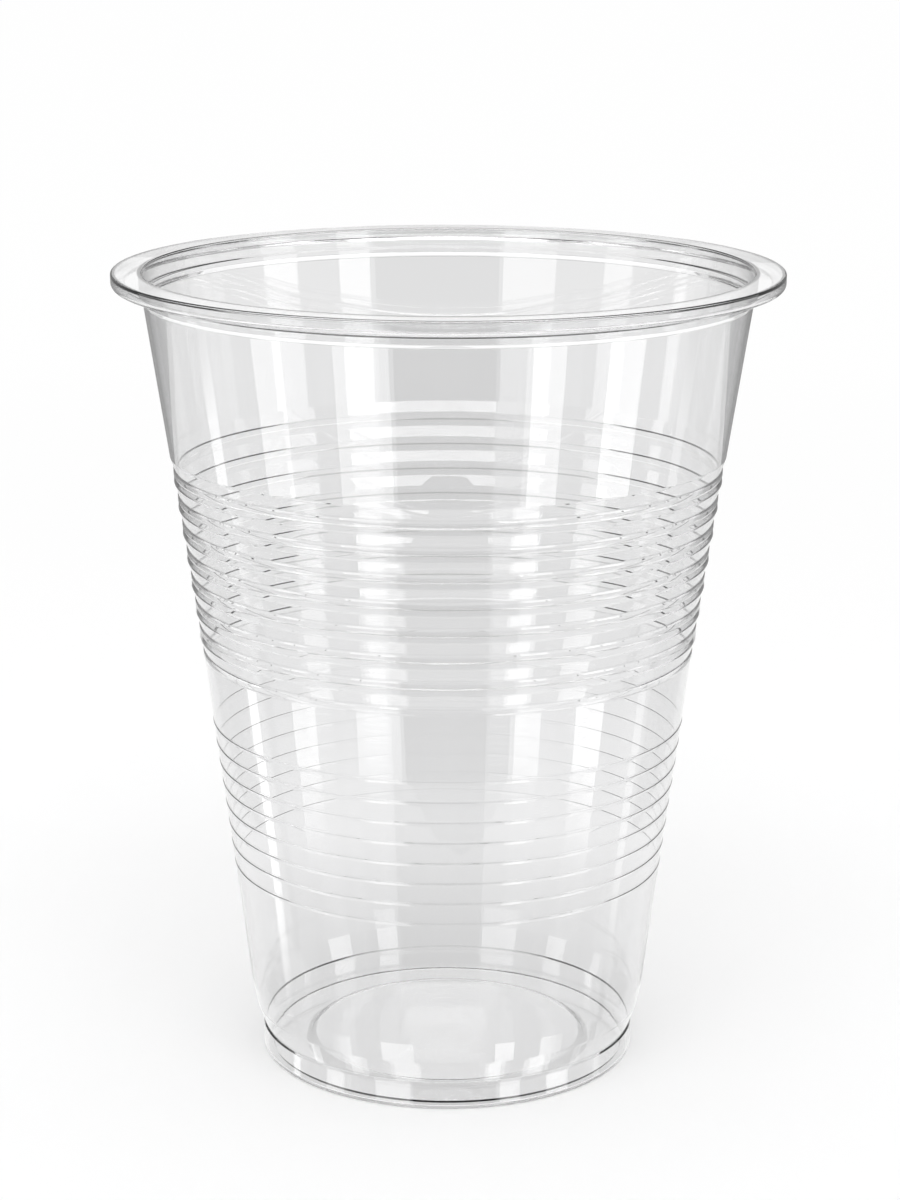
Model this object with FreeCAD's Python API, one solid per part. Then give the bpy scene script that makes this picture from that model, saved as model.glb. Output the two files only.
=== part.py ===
import FreeCAD, Part

import math
import os

from FreeCAD import Vector

# A clear drinking cup, drawn in one piece from plastic sheet: a foot ring that is folded under
# a recessed base, a tapered wall with eight fine ribs and a stack of grip rings, a short neck,
# and a rim that is rolled outwards and pressed flat. Millimetres, +Z up, the foot on Z = 0.

# Overall sizes.
RIM_DIAMETER = 95.0
CUP_HEIGHT = 116.0
FOOT_DIAMETER = 54.9
SHEET = 0.5

# Base: a flat floor inside the foot ring, with a raised disc in its middle.
FLOOR_HEIGHT = 1.9
FLOOR_RADIUS = 25.7
DISC_RADIUS = 19.7
DISC_RISE = 1.0
DISC_SLOPE_WIDTH = 1.0

# Foot ring: the sheet comes down, folds at the bottom and goes up again to the floor.
FOOT_HEIGHT = 4.85
FOOT_FOLD_WIDTH = 1.25
FOOT_BEVEL = 0.3

# Shoulder: the wall curves in above the foot and meets it in a crease.
SHOULDER_HEIGHT = 2.3
SHOULDER_STEP = 1.22
SHOULDER_ROUND = 13.8

# Wall: a taper from the shoulder to the neck, pulled in a little at half height.
WALL_BOW = 0.46
LOWER_BAND_HEIGHT = 21.75
MIDDLE_BAND_HEIGHT = 10.6

# Fine ribs: small steps on the outer face, over a smooth inner face.
RIB_COUNT = 8
RIB_PITCH = 3.06
RIB_SLOPE_HEIGHT = 0.4
RIB_TUCK = 0.08

# Grip rings: deeper steps of the whole sheet, each a slope under an upright band.
RING_COUNT = 8
RING_PITCH = 3.8
RING_SLOPE_HEIGHT = 2.0
RING_TUCK = 0.33

# Neck: a small step out to a short band under the rim.
NECK_DROP = 3.7
NECK_STEP = 0.45
NECK_STEP_HEIGHT = 0.6
NECK_FLARE = 0.2

# Rim: the sheet turns out over a flat top, down the side and back in below.
RIM_WIDTH = 4.3
RIM_DEPTH = 2.1
RIM_ROUND = 0.8
CURL_GAP = 0.7

# Bends of at most this radius are sharp on their inside, where the sheet is pinched.
TIGHT_BEND = 1.0

foot_radius = FOOT_DIAMETER / 2
rim_radius = RIM_DIAMETER / 2
mouth_radius = rim_radius - RIM_WIDTH
shoulder_top = FOOT_HEIGHT + SHOULDER_HEIGHT
shoulder_radius = foot_radius + SHOULDER_STEP
neck_z = CUP_HEIGHT - NECK_DROP
neck_radius = mouth_radius + SHEET - NECK_FLARE
wall_top = neck_z - NECK_STEP_HEIGHT
wall_top_radius = neck_radius - NECK_STEP
ribs_bottom = shoulder_top + LOWER_BAND_HEIGHT
ribs_top = ribs_bottom + RIB_SLOPE_HEIGHT + (RIB_COUNT - 1) * RIB_PITCH
rings_bottom = ribs_top + MIDDLE_BAND_HEIGHT


def wall_radius(z):
    """Outer radius of the plain wall at a height: a straight taper less a shallow parabola."""
    share = (z - shoulder_top) / (wall_top - shoulder_top)
    taper = shoulder_radius + (wall_top_radius - shoulder_radius) * share
    return taper - 4 * WALL_BOW * share * (1 - share)


def steps(bottom, count, pitch, slope_height, tuck):
    """Corners of a stack of steps, from the lowest up: each is tucked in, then back on the wall."""
    corners = []
    for number in range(count):
        inner_z = bottom + number * pitch
        outer_z = inner_z + slope_height
        corners.append((wall_radius(inner_z) - tuck, inner_z, 0.0))
        corners.append((wall_radius(outer_z), outer_z, 0.0))
    return corners


def floor_corners():
    """Underside of the raised disc and of the floor round it."""
    under_floor = FLOOR_HEIGHT - SHEET
    under_disc = under_floor + DISC_RISE
    return [
        (0.0, under_disc, 0.0),
        (DISC_RADIUS, under_disc, 0.0),
        (DISC_RADIUS + DISC_SLOPE_WIDTH, under_floor, 0.0),
        (FLOOR_RADIUS - SHEET, under_floor, 0.0),
    ]


def fold_corners(outside):
    """The fold of the foot ring: bevelled outside, where it stands, and sharp inside."""
    fold_radius = foot_radius - FOOT_FOLD_WIDTH
    if outside:
        return [
            (fold_radius, FOOT_BEVEL, 0.0),
            (fold_radius + FOOT_BEVEL, 0.0, 0.0),
            (foot_radius - FOOT_BEVEL, 0.0, 0.0),
            (foot_radius, FOOT_BEVEL, 0.0),
        ]
    return [(fold_radius, 0.0, 0.0), (foot_radius, 0.0, 0.0)]


def shoulder_corners():
    """The crease above the foot ring and the round shoulder over it."""
    return [(foot_radius, FOOT_HEIGHT, 0.0), (shoulder_radius, shoulder_top, SHOULDER_ROUND)]


def rib_corners(outside):
    """The ribbed stretch of the wall outside, or the plain wall inside."""
    if outside:
        return steps(ribs_bottom, RIB_COUNT, RIB_PITCH, RIB_SLOPE_HEIGHT, RIB_TUCK)
    return [(wall_radius(z), z, 0.0) for z in (ribs_bottom, ribs_top)]


def ring_corners():
    """The stack of grip rings."""
    return steps(rings_bottom, RING_COUNT, RING_PITCH, RING_SLOPE_HEIGHT, RING_TUCK)


def neck_corners():
    """The end of the wall and the step out to the neck."""
    return [(wall_top_radius, wall_top, 0.0), (neck_radius, neck_z, 0.0)]


def rim_corners():
    """The hidden face of the rolled rim: up, out, down and back in to the cut edge."""
    roll_top = CUP_HEIGHT - SHEET
    roll_side = rim_radius - SHEET
    roll_bottom = CUP_HEIGHT - RIM_DEPTH + SHEET
    return [
        (mouth_radius + SHEET, roll_top, RIM_ROUND),
        (roll_side, roll_top, RIM_ROUND),
        (roll_side, roll_bottom, RIM_ROUND),
        (mouth_radius + SHEET + CURL_GAP, roll_bottom, 0.0),
    ]


def corners(outside):
    """Corners (radius, height, bend radius) of the outer face, from the axis to the cut edge."""
    base = floor_corners() + fold_corners(outside) + shoulder_corners()
    wall = rib_corners(outside) + ring_corners()
    return base + wall + neck_corners() + rim_corners()


def direction(start, end):
    """Unit direction and length of the run between two points."""
    dr = end[0] - start[0]
    dz = end[1] - start[1]
    length = math.hypot(dr, dz)
    return dr / length, dz / length, length


def turn(before, corner, after):
    """Angle by which the chain turns at a corner, positive to the left."""
    ar, az, _ = direction(before, corner)
    br, bz, _ = direction(corner, after)
    return math.atan2(ar * bz - az * br, ar * br + az * bz)


def turns(points):
    """Turn at every point of a chain, with none at its two ends."""
    inner = [turn(*points[i - 1:i + 2]) for i in range(1, len(points) - 1)]
    return [0.0] + inner + [0.0]


def moved_left(points, distance):
    """The same chain moved to its left by a distance, with mitred corners."""
    angles = turns(points)
    moved = []
    for i, (r, z) in enumerate(points):
        if i < len(points) - 1:
            dr, dz, _ = direction(points[i], points[i + 1])
        else:
            dr, dz, _ = direction(points[i - 1], points[i])
        half = angles[i] / 2
        along = distance * math.tan(half)
        moved.append((r - dz * distance + dr * along, z + dr * distance + dz * along))
    return moved


def fitted(points, radii):
    """Bend radii, made smaller where two bends would overlap on the run between them."""
    angles = turns(points)
    used = [radius * math.tan(abs(angle) / 2) for radius, angle in zip(radii, angles)]
    shares = [1.0] * len(points)
    for i in range(len(points) - 1):
        length = direction(points[i], points[i + 1])[2]
        wanted = used[i] + used[i + 1]
        if wanted > length:
            shares[i] = min(shares[i], length / wanted)
            shares[i + 1] = min(shares[i + 1], length / wanted)
    return [radius * share for radius, share in zip(radii, shares)]


def face_edges(points, radii):
    """Straight runs joined by tangent arcs along one face of the sheet."""
    radii = fitted(points, radii)
    angles = turns(points)
    edges = []
    reached = Vector(points[0][0], 0, points[0][1])
    for i in range(1, len(points)):
        r, z = points[i]
        corner = Vector(r, 0, z)
        bend = radii[i] * math.tan(abs(angles[i]) / 2)
        arrive = direction(points[i - 1], points[i])
        arc_start = corner - Vector(arrive[0], 0, arrive[1]) * bend
        if arc_start.distanceToPoint(reached) > 1e-6:
            edges.append(Part.LineSegment(reached, arc_start).toShape())
        reached = arc_start
        if bend > 0:
            leave = direction(points[i], points[i + 1])
            arc_end = corner + Vector(leave[0], 0, leave[1]) * bend
            inwards = Vector(leave[0] - arrive[0], 0, leave[1] - arrive[1]).normalize()
            rise = radii[i] / math.cos(angles[i] / 2) - radii[i]
            edges.append(Part.Arc(arc_start, corner + inwards * rise, arc_end).toShape())
            reached = arc_end
    return edges


def bend_radius(radius, angle, outside):
    """Radius of a bend on one face: the full one outside the bend, and less the sheet inside it."""
    outside_of_bend = (angle > 0) == outside
    if outside_of_bend:
        return radius
    return radius - SHEET if radius > TIGHT_BEND else 0.0


def sheet_face(outside):
    """Points and edges of the outer face, or of the inner face one sheet away."""
    chain = corners(outside)
    points = moved_left([corner[:2] for corner in chain], 0.0 if outside else SHEET)
    bends = zip(chain, turns(points))
    radii = [bend_radius(corner[2], angle, outside) for corner, angle in bends]
    return points, face_edges(points, radii)


def joining_edge(outer_point, inner_point):
    """Edge across the thickness of the sheet."""
    start, end = (Vector(r, 0, z) for r, z in (outer_point, inner_point))
    return Part.LineSegment(start, end).toShape()


def cup():
    """The section between the two faces of the sheet, turned about the axis."""
    outer_points, outer_edges = sheet_face(True)
    inner_points, inner_edges = sheet_face(False)
    middle = joining_edge(outer_points[0], inner_points[0])
    cut_edge = joining_edge(outer_points[-1], inner_points[-1])
    edges = outer_edges + inner_edges + [middle, cut_edge]
    section = Part.Face(Part.Wire(Part.__sortEdges__(edges)))
    return section.revolve(Vector(0, 0, 0), Vector(0, 0, 1), 360)


os.makedirs("parts", exist_ok=True)
body = cup()
body.exportStep("parts/cup.step")
box = body.optimalBoundingBox()
print(f"cup: {box.XLength:.2f} x {box.YLength:.2f} x {box.ZLength:.2f} mm")
print(f"valid {body.isValid()}, {len(body.Solids)} solid, {body.Volume / 1000:.2f} cm3")
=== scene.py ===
# %% [markdown]
# # A clear ribbed drinking cup
#
# This lesson dresses a thin plastic cup. The solid model of the cup comes in as a fixed frame,
# which gives its true size and place. The frame's own mesh is made of flat facets, and clear
# plastic shows every facet as a kink in what lies behind it. So the cup is drawn again here as a
# smooth shell of the same size, and most of the work goes into how light passes through it.

# %% Load the frame
import math

import bmesh
import bpy
from mathutils import Matrix, Vector


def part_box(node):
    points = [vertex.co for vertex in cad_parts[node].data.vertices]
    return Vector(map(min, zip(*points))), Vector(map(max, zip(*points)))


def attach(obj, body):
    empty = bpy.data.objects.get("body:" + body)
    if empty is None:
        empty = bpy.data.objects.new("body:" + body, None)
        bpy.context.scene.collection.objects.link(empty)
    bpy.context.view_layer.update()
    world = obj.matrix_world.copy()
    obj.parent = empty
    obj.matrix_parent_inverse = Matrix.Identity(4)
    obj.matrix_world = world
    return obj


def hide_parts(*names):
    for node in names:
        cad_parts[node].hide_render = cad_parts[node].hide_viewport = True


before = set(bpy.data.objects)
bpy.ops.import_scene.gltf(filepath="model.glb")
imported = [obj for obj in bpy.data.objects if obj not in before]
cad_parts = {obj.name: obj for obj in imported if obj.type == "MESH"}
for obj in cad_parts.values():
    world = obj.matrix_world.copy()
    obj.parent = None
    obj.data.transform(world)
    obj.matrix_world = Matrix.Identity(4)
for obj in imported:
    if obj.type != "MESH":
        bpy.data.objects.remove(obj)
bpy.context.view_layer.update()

cup_low, cup_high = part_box("cup")
print("nodes:", sorted(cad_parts), "height:", round(cup_high[2], 4))

# %% [markdown]
# ## The sizes of the cup
#
# The height and the rim come from the frame. The rest are the cup's own sizes in metres: they
# name each stretch of the wall from the foot up, so a reader can follow the section as a maker
# would draw it. The sheet is half a millimetre thick everywhere. Each bend has its radius beside
# the sizes of its stretch.

# %% Sizes of the section
SHEET = 0.0005
cup_height = cup_high[2]
rim_radius = cup_high[0]

DISC_FLAT_RADIUS = 0.0145
DISC_FALL = 0.0003
DISC_RADIUS = 0.0197
DISC_RISE = 0.001
DISC_SLOPE_WIDTH = 0.001
DISC_BEND = 0.02
DISC_EDGE_BEND = 0.0015
FLOOR_HEIGHT = 0.0009
FLOOR_RADIUS = 0.0264
FLOOR_BEND = 0.0002

FOOT_RADIUS = 0.02745
FOOT_HEIGHT = 0.0041
FOOT_FOLD_WIDTH = 0.00105
FOLD_BEND = 0.0005
CREASE_DEPTH = 0.00014
CREASE_LEDGE = 0.0003
CREASE_BEND = 0.00005
LEDGE_BEND = 0.0001
INNER_CREASE_BEND = 0.0002
SHOULDER_HEIGHT = 0.00305
SHOULDER_STEP = 0.00122
SHOULDER_BEND = 0.024

WALL_BOW = 0.00046
LOWER_BAND_HEIGHT = 0.02175
MIDDLE_BAND_HEIGHT = 0.0106
PLAIN_WALL_BEND = 0.002

RIB_COUNT = 8
RIB_PITCH = 0.00306
RIB_SLOPE_HEIGHT = 0.0004
RIB_TUCK = 0.00006
RIB_LEDGE = 0.000135
RIB_LIP_BEND = 0.00015

RING_COUNT = 8
RING_PITCH = 0.0038
RING_SLOPE_HEIGHT = 0.002
RING_TUCK = 0.00033
RING_BEND = 0.00025
BEAD_LIFT = 0.0002
BEAD_HEIGHT = 0.00083
BEAD_EDGE = 0.00025
BEAD_LEDGE = 0.00027
BEAD_PROUD = 0.00012
GROOVE_BEND = 0.00015

NECK_DROP = 0.0037
NECK_STEP = 0.00045
NECK_STEP_HEIGHT = 0.0006
NECK_FLARE = 0.0002
NECK_BEND = 0.0002
INNER_NECK_LIFT = 0.0006
INNER_NECK_STEP_HEIGHT = 0.0002
RIM_WIDTH = 0.0043
RIM_DEPTH = 0.0021
RIM_BEND = 0.0001
INNER_RIM_BEND = 0.00029
ROLL_BEND = 0.0003
CURL_GAP = 0.0018

mouth_radius = rim_radius - RIM_WIDTH
shoulder_top = FOOT_HEIGHT + SHOULDER_HEIGHT
shoulder_radius = FOOT_RADIUS + SHOULDER_STEP
neck_z = cup_height - NECK_DROP
neck_radius = mouth_radius + SHEET - NECK_FLARE
wall_top = neck_z - NECK_STEP_HEIGHT
wall_top_radius = neck_radius - NECK_STEP
print("mouth radius:", round(mouth_radius, 4), "wall top:", round(wall_top, 4))

# %% [markdown]
# ## The line of the wall
#
# The wall isn't quite straight. It tapers from the shoulder to the neck and is pulled in by half
# a millimetre at half height, which one short formula gives. The ribs and the grip rings then
# hang on this line: each is a corner on the line and a corner tucked in behind it.

# %% The wall's taper
def wall_radius(z):
    """Outer radius of the plain wall at a height."""
    share = (z - shoulder_top) / (wall_top - shoulder_top)
    taper = shoulder_radius + (wall_top_radius - shoulder_radius) * share
    return taper - 4 * WALL_BOW * share * (1 - share)


ribs_bottom = shoulder_top + LOWER_BAND_HEIGHT
ribs_top = ribs_bottom + (RIB_COUNT - 1) * RIB_PITCH + RIB_SLOPE_HEIGHT
rings_bottom = ribs_top + MIDDLE_BAND_HEIGHT
print("ribs from", round(ribs_bottom, 4), "rings from", round(rings_bottom, 4))

# %% [markdown]
# ## Two faces of one sheet
#
# A sheet of plastic has an outer face, which the mould shapes, and an inner face, which follows
# it more softly. Clear plastic shows the difference: where the two faces aren't parallel the wall
# bends light, and a fine bright and dark line appears. So each face gets its own corners. The
# ribs are only on the outer face, and each grip ring carries a low bead under its groove. Ribs
# and beads end at the top in a fine ledge, which is steep, so that it catches the light in front
# without holding light back in the far wall.

# %% Ribs and rings
def rib_steps():
    """Corners (radius, height, bend radius) of the fine ribs on the outer face."""
    found = []
    for number in range(RIB_COUNT):
        z = ribs_bottom + number * RIB_PITCH
        lip = z + RIB_SLOPE_HEIGHT
        found.append((wall_radius(z) - RIB_TUCK, z, LEDGE_BEND))
        found.append((wall_radius(lip), lip, RIB_LIP_BEND))
        found.append((wall_radius(lip) - RIB_TUCK, lip + RIB_LEDGE, LEDGE_BEND))
    return found


def ring_steps(outside):
    """Corners of the grip rings: a groove, with its bead on the outer face, and a slope over it."""
    found = []
    for number in range(RING_COUNT):
        z = rings_bottom + number * RING_PITCH
        slope_top = z + RING_SLOPE_HEIGHT
        groove = wall_radius(z) - RING_TUCK
        if outside:
            top = z + BEAD_LIFT
            found.append((groove, top - BEAD_HEIGHT - BEAD_EDGE, LEDGE_BEND))
            found.append((groove + BEAD_PROUD, top - BEAD_HEIGHT, LEDGE_BEND))
            found.append((groove + BEAD_PROUD, top - BEAD_LEDGE, LEDGE_BEND))
            found.append((groove, top, GROOVE_BEND))
        else:
            found.append((groove, z, RING_BEND))
        found.append((wall_radius(slope_top), slope_top, RING_BEND))
    return found


print("outer corners:", len(rib_steps()) + len(ring_steps(True)))

# %% [markdown]
# ## The whole section
#
# The section runs along the outer face of the sheet: from the axis under the floor, round the
# folded foot ring, up the wall, and over the rim to the cut edge of the roll. The inner face
# runs the same way, one sheet to the left, and the two are joined across the cut edge.

# %% Corners of the base and the rim
def crease_corners(outside):
    """The crease between the foot ring and the shoulder, with a fine ledge on the outer face."""
    if not outside:
        return [(FOOT_RADIUS, FOOT_HEIGHT, INNER_CREASE_BEND)]
    return [
        (FOOT_RADIUS, FOOT_HEIGHT - CREASE_LEDGE, LEDGE_BEND),
        (FOOT_RADIUS - CREASE_DEPTH, FOOT_HEIGHT, CREASE_BEND),
    ]


def base_corners(outside):
    """The raised disc, the floor, the folded foot ring and the shoulder."""
    under_floor = FLOOR_HEIGHT - SHEET
    under_disc = under_floor + DISC_RISE
    return [
        (0.0, under_disc, 0.0),
        (DISC_FLAT_RADIUS, under_disc, DISC_BEND),
        (DISC_RADIUS, under_disc - DISC_FALL, DISC_EDGE_BEND),
        (DISC_RADIUS + DISC_SLOPE_WIDTH, under_floor, DISC_EDGE_BEND),
        (FLOOR_RADIUS - SHEET, under_floor, FLOOR_BEND),
        (FOOT_RADIUS - FOOT_FOLD_WIDTH, 0.0, FOLD_BEND),
        (FOOT_RADIUS, 0.0, FOLD_BEND),
        *crease_corners(outside),
        (shoulder_radius, shoulder_top, SHOULDER_BEND),
    ]


def top_corners(lift, step_height, bend):
    """The neck's step, lifted a little on the inner face, and the flattened roll of the rim."""
    roll_top = cup_height - SHEET
    roll_side = rim_radius - SHEET
    roll_bottom = cup_height - RIM_DEPTH + SHEET
    return [
        (wall_top_radius, neck_z + lift - step_height, NECK_BEND),
        (neck_radius, neck_z + lift, NECK_BEND),
        (mouth_radius + SHEET, roll_top, bend),
        (roll_side, roll_top, bend),
        (roll_side, roll_bottom, ROLL_BEND),
        (mouth_radius + SHEET + CURL_GAP, roll_bottom, 0.0),
    ]


def rib_ends():
    """The plain wall behind the ribs."""
    return [(wall_radius(z), z, PLAIN_WALL_BEND) for z in (ribs_bottom, ribs_top)]


outer_corners = (base_corners(True) + rib_steps() + ring_steps(True)
                 + top_corners(0, NECK_STEP_HEIGHT, RIM_BEND))
inner_corners = (base_corners(False) + rib_ends() + ring_steps(False)
                 + top_corners(INNER_NECK_LIFT, INNER_NECK_STEP_HEIGHT, INNER_RIM_BEND))
print("corners:", len(outer_corners), "outside,", len(inner_corners), "inside")

# %% [markdown]
# ## From corners to a rounded outline
#
# The inner face is the same chain moved one sheet to the left. At each corner the move is along
# the mean of the two normals, which keeps the sheet equally thick on both sides of the bend.
# Then the corners become a chain of vertices, and a vertex bevel rounds each one. Its offset is
# the bend's radius times the tangent of half the turn. Where the sheet is bent rather than
# pinched, the face outside the bend is rounder by the sheet's thickness. Long straight stretches
# get a few extra cuts, so that smooth shading bends only where the sheet does.

# %% Move a chain by the thickness of the sheet
LEAST_SHEET_BEND = 0.0003
DEGREES_A_SEGMENT = 10
MOST_SEGMENTS = 8


def moved_left(points):
    """The chain moved one sheet to its left, with mitred corners."""
    normals = [(b - a).orthogonal().normalized() for a, b in zip(points, points[1:])]
    before = [normals[0]] + normals
    after = normals + [normals[-1]]
    return [p + (n + m) * SHEET / (1 + n.dot(m)) for p, n, m in zip(points, before, after)]


def plan_bends(points, bends, side):
    """Offset and segments of the bevel at every corner; side is 1 for the outer face."""
    plans = []
    for i in range(1, len(points) - 1):
        arrive, leave = points[i] - points[i - 1], points[i + 1] - points[i]
        turn = arrive.angle_signed(leave)
        outside = (turn < 0) == (side > 0)
        radius = bends[i] + (SHEET if outside and bends[i] >= LEAST_SHEET_BEND else 0.0)
        if bends[i] > 0:
            wanted = round(math.degrees(abs(turn)) / DEGREES_A_SEGMENT)
            segments = min(MOST_SEGMENTS, max(2, wanted))
            plans.append((i, radius * math.tan(abs(turn) / 2), segments))
    return plans


# %% Draw both faces and round them
def face_chain(bm, corners, side):
    """One face of the sheet as a chain of edges; gives its first and last vertices."""
    points = [Vector((r, z)) for r, z, _ in corners]
    if side < 0:
        points = moved_left(points)
    verts = [bm.verts.new((p.x, 0.0, p.y)) for p in points]
    for a, b in zip(verts, verts[1:]):
        bm.edges.new((a, b))
    first, last = verts[0], verts[-1]
    for i, offset, segments in plan_bends(points, [c[2] for c in corners], side):
        bmesh.ops.bevel(bm, geom=[verts[i]], offset=offset, offset_type="OFFSET",
                        segments=segments, profile=0.5, affect="VERTICES", material=-1,
                        clamp_overlap=True)
    return first, last


section = bmesh.new()
_, outer_end = face_chain(section, outer_corners, 1)
_, inner_end = face_chain(section, inner_corners, -1)
section.edges.new((outer_end, inner_end))
print("points after rounding:", len(section.verts))

# %% Extra cuts on the straight stretches
def cut_near(edge, vert, distance):
    """Cut an edge at a distance from one of its ends; gives the longer remainder."""
    length = edge.calc_length()
    _, cut = bmesh.utils.edge_split(edge, vert, distance / length)
    return max(cut.link_edges, key=lambda e: e.calc_length())


def hold_straights(bm, near_bend=0.00012, spacing=0.006):
    """Cuts close to both ends of each long edge, and every few millimetres between them."""
    for edge in [e for e in bm.edges if e.calc_length() > 5 * near_bend]:
        start, end = edge.verts
        edge = cut_near(edge, start, near_bend)
        edge = cut_near(edge, end, near_bend)
        cuts = int(edge.calc_length() / spacing)
        if cuts:
            bmesh.ops.subdivide_edges(bm, edges=[edge], cuts=cuts)


hold_straights(section)
print("points in the section:", len(section.verts))

# %% [markdown]
# ## Spin the outline into a shell
#
# A full spin sweeps the outline round the axis. The outline is closed but for the two points on
# the axis, and merging doubles there closes the poles. The normals are set once, on the closed
# shell, and everything is shaded smooth.

# %% Spin
TURN_STEPS = 160
MERGE_DISTANCE = 1e-6

bmesh.ops.spin(section, geom=section.verts[:] + section.edges[:], cent=(0, 0, 0),
               axis=(0, 0, 1), angle=math.tau, steps=TURN_STEPS, use_merge=True)
bmesh.ops.remove_doubles(section, verts=section.verts, dist=MERGE_DISTANCE)
bmesh.ops.recalc_face_normals(section, faces=section.faces)
if section.calc_volume(signed=True) < 0:
    bmesh.ops.reverse_faces(section, faces=section.faces)
for face in section.faces:
    face.smooth = True
open_edges = sum(1 for e in section.edges if len(e.link_faces) != 2)
print("triangles:", sum(len(f.verts) - 2 for f in section.faces), "open edges:", open_edges,
      "cm3:", round(section.calc_volume() * 1e6, 2))

# %% Make the cup an object
cup_mesh = bpy.data.meshes.new("clear_cup")
section.to_mesh(cup_mesh)
section.free()
cup = bpy.data.objects.new("clear_cup", cup_mesh)
bpy.context.scene.collection.objects.link(cup)
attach(cup, "root")
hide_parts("cup")
print("cup:", [round(x, 4) for x in cup.dimensions])

# %% [markdown]
# ## Clear plastic
#
# The plastic is a dielectric with a smooth surface, so nearly everything that shows of it is
# light that has passed through. What makes it grey rather than invisible is that it takes up a
# little of that light. A slight tint acts each time light passes a face, so it is strongest at
# the folds and the rim, where many faces lie behind each other. An absorbing volume acts on the
# way through the sheet, which is short from the front and long at the sides of the cup. A very
# faint and broad bump is the waviness that the sheet keeps from forming.

# %% The plastic
FACE_TINT = (0.955, 0.955, 0.957, 1)
VOLUME_TINT = (0.8, 0.8, 0.805, 1)
VOLUME_DENSITY = 80
PLASTIC_IOR = 1.5
WAVE_SCALE = 90
WAVE_STRENGTH = 0.035
WAVE_HEIGHT = 0.0005


def new_material(name):
    """An empty node material, its node tree and its output node."""
    material = bpy.data.materials.new(name)
    material.use_nodes = True
    tree = material.node_tree
    tree.nodes.clear()
    return material, tree, tree.nodes.new("ShaderNodeOutputMaterial")


def clear_plastic():
    """Clear, glossy plastic with a faint waviness from forming."""
    material, tree, output = new_material("clear_plastic")
    surface = tree.nodes.new("ShaderNodeBsdfPrincipled")
    surface.inputs["Base Color"].default_value = FACE_TINT
    surface.inputs["Roughness"].default_value = 0.0
    surface.inputs["IOR"].default_value = PLASTIC_IOR
    surface.inputs["Transmission Weight"].default_value = 1.0
    volume = tree.nodes.new("ShaderNodeVolumeAbsorption")
    volume.inputs["Color"].default_value = VOLUME_TINT
    volume.inputs["Density"].default_value = VOLUME_DENSITY
    place = tree.nodes.new("ShaderNodeTexCoord")
    wave = tree.nodes.new("ShaderNodeTexNoise")
    wave.inputs["Scale"].default_value = WAVE_SCALE
    wave.inputs["Detail"].default_value = 0
    bump = tree.nodes.new("ShaderNodeBump")
    bump.inputs["Strength"].default_value = WAVE_STRENGTH
    bump.inputs["Distance"].default_value = WAVE_HEIGHT
    link = tree.links.new
    link(place.outputs["Object"], wave.inputs["Vector"])
    link(wave.outputs["Fac"], bump.inputs["Height"])
    link(bump.outputs["Normal"], surface.inputs["Normal"])
    link(surface.outputs["BSDF"], output.inputs["Surface"])
    link(volume.outputs["Volume"], output.inputs["Volume"])
    return material


cup_mesh.materials.append(clear_plastic())
print("material:", cup_mesh.materials[0].name)

# %% [markdown]
# ## The studio
#
# Clear things are lit by what stands round them. The floor is wide and white, and it is what
# the camera sees through the cup. The camera gets mostly the floor's own white, with less of it
# near the cup, where the shadow has to show. Seen in the plastic, the floor is a shade darker, so
# that the cup stands out from it, and it is painted with light and shade: a painted shadow right
# under the cup, painted rings of lighter and darker grey round it, and darker painted quarters
# between two bright crossed arms. A ray that the plastic has mirrored once goes through the floor,
# so the lamps go on below the horizon, as they do over a polished table. The room is bright at the
# horizon and darker above it, which gives the plastic its grey lines.
#
# All of this is arithmetic on a few sockets, so the helpers come first.

# %% Helpers for nodes
def math_of(tree, operation, *values):
    """Result of a math node on sockets or plain numbers."""
    node = tree.nodes.new("ShaderNodeMath")
    node.operation = operation
    for socket, value in zip(node.inputs, values):
        if isinstance(value, float):
            socket.default_value = value
        else:
            tree.links.new(value, socket)
    return node.outputs["Value"]


def map_range(tree, value, before, after):
    """A value carried from one (low, high) range into another, and held at its ends."""
    node = tree.nodes.new("ShaderNodeMapRange")
    for label, number in zip(("From Min", "From Max", "To Min", "To Max"), (*before, *after)):
        node.inputs[label].default_value = number
    tree.links.new(value, node.inputs["Value"])
    return node.outputs["Result"]


def grey_ramp(tree, value, corners):
    """A grey that runs straight between (value, shade) corners."""
    node = tree.nodes.new("ShaderNodeValToRGB")
    stops = node.color_ramp.elements
    stops[0].position, stops[-1].position = corners[0][0], corners[-1][0]
    for position, _ in corners[1:-1]:
        stops.new(position)
    for stop, (_, shade) in zip(stops, corners):
        stop.color = (shade, shade, shade, 1)
    tree.links.new(value, node.inputs["Fac"])
    return node.outputs["Color"]


def light_path_pick(tree, kinds):
    """A socket that is 1 for rays of the given kinds and 0 for the others."""
    paths = tree.nodes.new("ShaderNodeLightPath")
    picked = paths.outputs[kinds[0]]
    for kind in kinds[1:]:
        picked = math_of(tree, "MAXIMUM", picked, paths.outputs[kind])
    return picked


def mixed(tree, factor, first, second):
    """Mix of two shaders by a socket or a number."""
    mix = tree.nodes.new("ShaderNodeMixShader")
    if isinstance(factor, float):
        mix.inputs["Fac"].default_value = factor
    else:
        tree.links.new(factor, mix.inputs["Fac"])
    tree.links.new(first, mix.inputs[1])
    tree.links.new(second, mix.inputs[2])
    return mix.outputs["Shader"]


IN_PICTURE = ("Is Camera Ray",)
IN_PLASTIC = ("Is Glossy Ray", "Is Transmission Ray")

# %% The floor's material
FLOOR_WHITE = (0.9, 0.9, 0.9, 1)
OWN_WHITE_REACH = (0.1, 0.6)
OWN_WHITE_SHARE = (0.38, 0.97)
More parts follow.
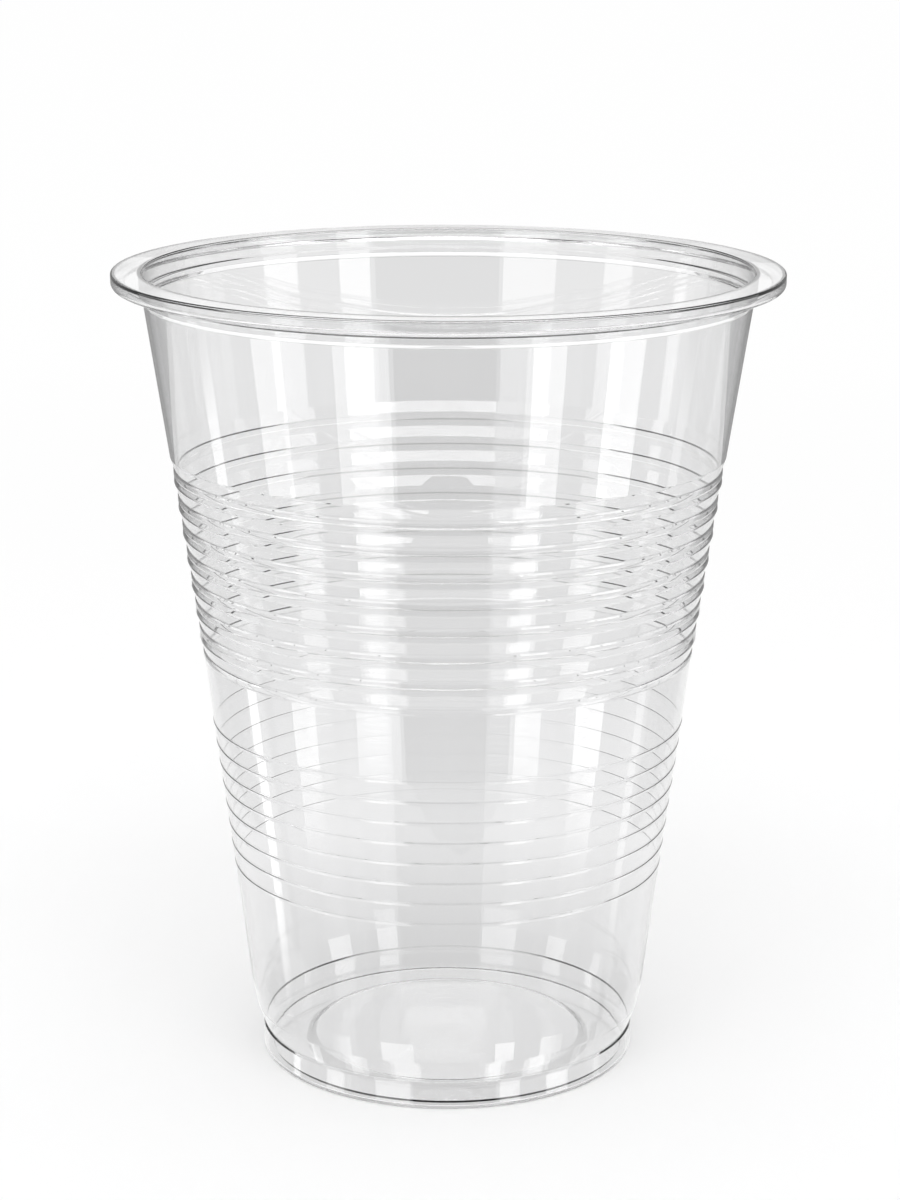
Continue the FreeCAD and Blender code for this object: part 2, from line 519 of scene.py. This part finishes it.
# Painted light and shade that the plastic sees on the floor: a painted shadow right under the cup,
# grey rings by distance, and darker painted quarters between two crossed arms.
POOL_SHADES = ((0.035, 0.74), (0.1, 0.93), (0.3, 0.79), (0.6, 0.84), (0.92, 0.85), (1.0, 0.62))
POOL_ARMS = (0.12, 0.28)
POOL_ARMS_SHADE = (1.0, 0.6)
POOL_SHARE = 0.9
MIRRORED_ONCE = (1.0, 0.5)


def pool_of_light(tree, place, distance):
    """Painted light and shade of the floor in the plastic: a shadow under the cup, grey rings, two
    bright crossed arms.
    """
    sides = tree.nodes.new("ShaderNodeSeparateXYZ")
    tree.links.new(place, sides.inputs["Vector"])
    sizes = [math_of(tree, "ABSOLUTE", sides.outputs[axis]) for axis in "XY"]
    arms = map_range(tree, math_of(tree, "MINIMUM", *sizes), POOL_ARMS, POOL_ARMS_SHADE)
    rings = grey_ramp(tree, distance, POOL_SHADES)
    pool = tree.nodes.new("ShaderNodeEmission")
    tree.links.new(math_of(tree, "MULTIPLY", rings, arms), pool.inputs["Color"])
    return pool.outputs["Emission"]


def floor_material():
    """White floor that keeps shadows, with a white of its own for the camera and the plastic."""
    material, tree, output = new_material("floor_white")
    diffuse = tree.nodes.new("ShaderNodeBsdfDiffuse")
    diffuse.inputs["Color"].default_value = FLOOR_WHITE
    matt = diffuse.outputs["BSDF"]
    glow = tree.nodes.new("ShaderNodeEmission").outputs["Emission"]
    clear = tree.nodes.new("ShaderNodeBsdfTransparent").outputs["BSDF"]
    place = tree.nodes.new("ShaderNodeTexCoord").outputs["Object"]
    length = tree.nodes.new("ShaderNodeVectorMath")
    length.operation = "LENGTH"
    tree.links.new(place, length.inputs[0])
    distance = length.outputs["Value"]
    bounces = tree.nodes.new("ShaderNodeLightPath").outputs["Glossy Depth"]

    whiter = map_range(tree, distance, OWN_WHITE_REACH, OWN_WHITE_SHARE)
    seen = mixed(tree, whiter, matt, glow)
    # The floor in the plastic: painted light and shade over a tenth of its real lit white.
    pool = mixed(tree, POOL_SHARE, matt, pool_of_light(tree, place, distance))
    polished = mixed(tree, math_of(tree, "COMPARE", bounces, *MIRRORED_ONCE), pool, clear)
    result = mixed(tree, light_path_pick(tree, IN_PICTURE), matt, seen)
    result = mixed(tree, light_path_pick(tree, IN_PLASTIC), result, polished)
    tree.links.new(result, output.inputs["Surface"])
    return material


# %% Floor
FLOOR_WIDTH = 8.0

floor_mesh = bpy.data.meshes.new("floor")
floor_bm = bmesh.new()
bmesh.ops.create_grid(floor_bm, x_segments=1, y_segments=1, size=FLOOR_WIDTH / 2)
floor_bm.to_mesh(floor_mesh)
floor_bm.free()
floor = bpy.data.objects.new("floor", floor_mesh)
bpy.context.scene.collection.objects.link(floor)
floor_mesh.materials.append(floor_material())
print("floor:", FLOOR_WIDTH, "m wide")

# %% World
ROOM_LIGHT = 0.88
HORIZON_DEGREES = (5, 15)
HORIZON_LIGHT = (1.0, 0.6)

world = bpy.data.worlds.new("studio")
bpy.context.scene.world = world
world.use_nodes = True
sky = world.node_tree
sky.nodes.clear()
sky_output = sky.nodes.new("ShaderNodeOutputWorld")


def background(strength):
    """A plain white background; its strength is a number or a socket."""
    node = sky.nodes.new("ShaderNodeBackground")
    node.inputs["Color"].default_value = (1, 1, 1, 1)
    if isinstance(strength, float):
        node.inputs["Strength"].default_value = strength
    else:
        sky.links.new(strength, node.inputs["Strength"])
    return node.outputs["Background"]


direction = sky.nodes.new("ShaderNodeTexCoord")
parts = sky.nodes.new("ShaderNodeSeparateXYZ")
sky.links.new(direction.outputs["Generated"], parts.inputs["Vector"])
horizon = [math.sin(math.radians(degrees)) for degrees in HORIZON_DEGREES]
dimming = map_range(sky, parts.outputs["Z"], horizon, HORIZON_LIGHT)
room = mixed(sky, light_path_pick(sky, IN_PLASTIC), background(ROOM_LIGHT), background(dimming))
room = mixed(sky, light_path_pick(sky, IN_PICTURE), room, background(1.0))
sky.links.new(room, sky_output.inputs["Surface"])
print("world:", len(sky.nodes), "nodes")

# %% [markdown]
# ## Strips, panels and cards
#
# Each upright band of light on the cup is the mirror image of a tall strip, so six strips stand
# round the cup in the bands' directions. They go on below the floor, and each is dimmer over two
# stretches there, so that the bands fade in places on their way down. One long panel in front
# and above gives the white lines on the ledges of the rings and the ribs. A dark card behind the
# camera, grey ones at the sides and two pale ones at the back give the greys between the bands.
# None of these lights the floor: they are only seen in the plastic. What lights the floor and
# throws the cup's soft shadow is the room and one lamp overhead.

# %% Places round the cup
def facing_cup(azimuth, distance, height):
    """Matrix of a thing that stands off the cup and faces it; azimuth 0 is the camera's side."""
    turn = math.radians(azimuth)
    spot = Vector((math.sin(turn) * distance, -math.cos(turn) * distance, height))
    upright = Matrix.Rotation(math.pi / 2, 4, "X")
    return Matrix.Translation(spot) @ Matrix.Rotation(turn, 4, "Z") @ upright


def above_cup(y, height, degrees):
    """Matrix of a thing above the cup that is tipped towards it from the camera's side."""
    tipped = Matrix.Rotation(math.radians(degrees), 4, "X")
    return Matrix.Translation((0, y, height)) @ tipped


def width_of(degrees, distance):
    """Width that covers an angle seen from the cup."""
    return 2 * distance * math.tan(math.radians(degrees / 2))


# %% A lamp, a panel and a card
def soft_lamp(name, place, width, height, radiance):
    """An area lamp whose face shines with the given brightness."""
    data = bpy.data.lights.new(name, "AREA")
    data.shape = "RECTANGLE"
    data.size = width
    data.size_y = height
    data.energy = radiance * math.pi * width * height
    lamp = bpy.data.objects.new(name, data)
    lamp.matrix_world = place
    bpy.context.scene.collection.objects.link(lamp)


def shade_only(name, shade):
    """A material of an even shade that lights nothing by itself; gives its emission node too."""
    material, tree, output = new_material(name)
    glow = tree.nodes.new("ShaderNodeEmission")
    glow.inputs["Strength"].default_value = shade
    tree.links.new(glow.outputs["Emission"], output.inputs["Surface"])
    material.cycles.emission_sampling = "NONE"
    return material, tree, glow


def panel(name, place, width, height, material):
    """A flat panel that is only seen in the plastic."""
    mesh = bpy.data.meshes.new(name)
    bm = bmesh.new()
    bmesh.ops.create_grid(bm, x_segments=1, y_segments=1, size=0.5)
    bmesh.ops.scale(bm, vec=(width, height, 1), verts=bm.verts)
    bm.transform(place)
    bm.to_mesh(mesh)
    bm.free()
    mesh.materials.append(material)
    made = bpy.data.objects.new(name, mesh)
    bpy.context.scene.collection.objects.link(made)
    made.visible_camera = False
    made.visible_diffuse = False
    made.visible_shadow = False


def card(name, azimuth, degrees, bottom, top, shade, distance):
    """A standing card of an even shade."""
    place = facing_cup(azimuth, distance, (top + bottom) / 2)
    material = shade_only(name, shade)[0]
    panel(name, place, width_of(degrees, distance), top - bottom, material)


# %% Strips
STRIP_DISTANCE = 1.2
STRIP_REACH = 2.6
STRIP_DIM = 0.35
STRIP_SHADES = (
    (0.298, 1.0), (0.312, STRIP_DIM), (0.371, STRIP_DIM), (0.385, 1.0),
    (0.433, 1.0), (0.446, STRIP_DIM), (0.5, STRIP_DIM), (0.521, 1.0),
)
# Azimuth in degrees, width in degrees, brightness.
STRIPS = {
    "near_right": (39, 13, 3.2), "far_right": (72, 16, 3.2),
    "near_left": (-33.5, 22, 2.6), "far_left": (-73, 13.5, 2.6),
    "edge_right": (106, 6, 1.6), "edge_left": (-107, 7, 2.6),
}


def strip(name, azimuth, degrees, radiance):
    """A tall strip of light that goes on below the floor and is dimmer in places there."""
    material, tree, glow = shade_only(name, radiance)
    place = tree.nodes.new("ShaderNodeTexCoord")
    heights = tree.nodes.new("ShaderNodeSeparateXYZ")
    tree.links.new(place.outputs["Generated"], heights.inputs["Vector"])
    shades = grey_ramp(tree, heights.outputs["Z"], STRIP_SHADES)
    tree.links.new(shades, glow.inputs["Color"])
    spot = facing_cup(azimuth, STRIP_DISTANCE, 0)
    panel(name, spot, width_of(degrees, STRIP_DISTANCE), 2 * STRIP_REACH, material)


for name, (azimuth, degrees, radiance) in STRIPS.items():
    strip(name, azimuth, degrees, radiance)
print("strips:", len(STRIPS))

# %% Overhead lamp, front panel and cards
soft_lamp("overhead", above_cup(-0.75, 1.25, 31), width=1.3, height=0.8, radiance=2.6)
panel("front_shine", above_cup(-1.146, 0.85, 56), width=2.4, height=0.25,
      material=shade_only("front_shine", 7.0)[0])

# Azimuth and width in degrees, bottom, top, shade, distance.
CARDS = {
    "camera_card": (4.7, 51, -0.8, 0.7, 0.05, 1.3),
    "side_card_-1": (-147, 44, -0.25, 1.0, 0.35, 1.3),
    "side_card_1": (147, 44, -0.25, 1.0, 0.35, 1.3),
    "low_back_card": (180, 40, 0.001, 0.14, 0.6, 1.32),
    "high_back_card": (180, 40, 0.3, 0.9, 1.1, 1.32),
}
for name, numbers in CARDS.items():
    card(name, *numbers)
print("lamps:", len(bpy.data.lights), "cards:", len(CARDS))

# %% [markdown]
# ## The camera
#
# The camera stands about 43 cm from the cup's axis and 18 cm above the table and looks down by
# 14 degrees. The lens is long, so the picture is narrow: the frame is taken as 900 by 1200.

# %% Camera
CAMERA_PLACE = (0.0003, -0.4304, 0.1775)
LOOK_DOWN_DEGREES = 14.32
ROLL_DEGREES = 0.11

camera_data = bpy.data.cameras.new("camera")
camera_data.sensor_width = 36
camera_data.lens = 91.93
camera_data.clip_end = 20
camera = bpy.data.objects.new("camera", camera_data)
look_down = math.radians(LOOK_DOWN_DEGREES)
roll = math.radians(ROLL_DEGREES)
camera.matrix_world = (Matrix.Translation(CAMERA_PLACE)
                       @ Matrix.Rotation(math.pi / 2 - look_down, 4, "X")
                       @ Matrix.Rotation(roll, 4, "Z"))
bpy.context.scene.collection.objects.link(camera)
bpy.context.scene.camera = camera
bpy.context.scene.view_settings.view_transform = "Standard"
print("camera looks down by", LOOK_DOWN_DEGREES, "degrees")
